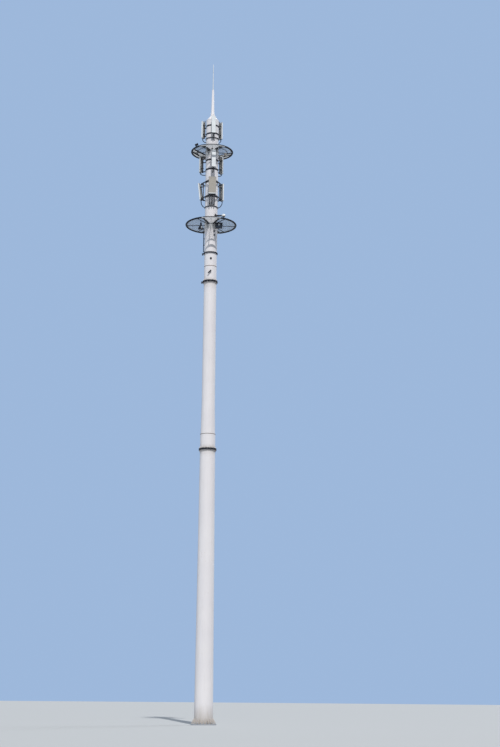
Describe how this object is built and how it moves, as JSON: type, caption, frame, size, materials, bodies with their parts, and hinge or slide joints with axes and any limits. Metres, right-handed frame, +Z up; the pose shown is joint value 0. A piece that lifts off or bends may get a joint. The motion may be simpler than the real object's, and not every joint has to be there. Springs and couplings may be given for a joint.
{
  "type": "monopole cell tower",
  "caption": "Tall white tubular steel telecom mast with bolted flange joints, two round platform discs, three tiers of panel antennas and a slender lightning spire.",
  "frame": {"origin": "centre of the flat underside of the base flange, at ground level on the shaft's axis", "axes": "+Z up along the shaft, -Y towards the pictured front, +X towards the right of the picture"},
  "size_m": [3.0796, 3.0396, 39.75],
  "materials": {
    "shaft_paint": "satin off-white paint, weathered",
    "light_paint": "satin light grey paint",
    "dark_steel": "dark navy paint, dusty",
    "mesh_steel": "galvanised mesh, blue-grey",
    "weathered_steel": "galvanised, weathered",
    "radome_white": "matt white moulding",
    "radome_beige": "matt beige-grey moulding",
    "dark_housing": "dark powder coat",
    "black_rubber": "matt black jacket"
  },
  "bodies": {
    "root": {"base_flange": "weathered_steel", "lower_shaft": "shaft_paint", "access_hatch": "shaft_paint", "lower_joint_flanges": "dark_steel", "middle_shaft": "shaft_paint", "upper_joint_flanges": "dark_steel", "port_section": "shaft_paint", "seam_bands": "weathered_steel", "head_collar": "dark_steel", "head_shaft": "shaft_paint", "cable_ports": "dark_steel", "cable_rings": "dark_steel", "side_conduit": "dark_steel", "jumper_cables": "black_rubber", "cap_cone": "shaft_paint", "spire_tube": "shaft_paint", "spire_rod": "weathered_steel", "lower_disc_collar": "light_paint", "lower_disc_left_frame": "dark_steel", "lower_disc_right_frame": "dark_steel", "lower_disc_mesh": "mesh_steel", "lower_disc_bridges": "light_paint", "upper_disc_collar": "light_paint", "upper_disc_left_frame": "dark_steel", "upper_disc_right_frame": "dark_steel", "upper_disc_mesh": "mesh_steel", "upper_disc_bridges": "light_paint", "upper_disc_kick_plate": "light_paint", "antenna_pipes": "weathered_steel", "top_clamps": "dark_steel", "top_brackets": "dark_steel", "top_antennas": "radome_white", "mid_clamps": "dark_steel", "mid_brackets": "dark_steel", "mid_antennas": "radome_white", "low_frames": "dark_steel", "low_brackets": "dark_steel", "low_side_antennas": "radome_white", "low_front_antenna": "radome_beige", "floodlights": "dark_housing", "camera_arm": "dark_steel", "dome_camera": "radome_white", "rim_lamp": "dark_housing", "junction_box": "radome_beige"}
  },
  "joints": []
}
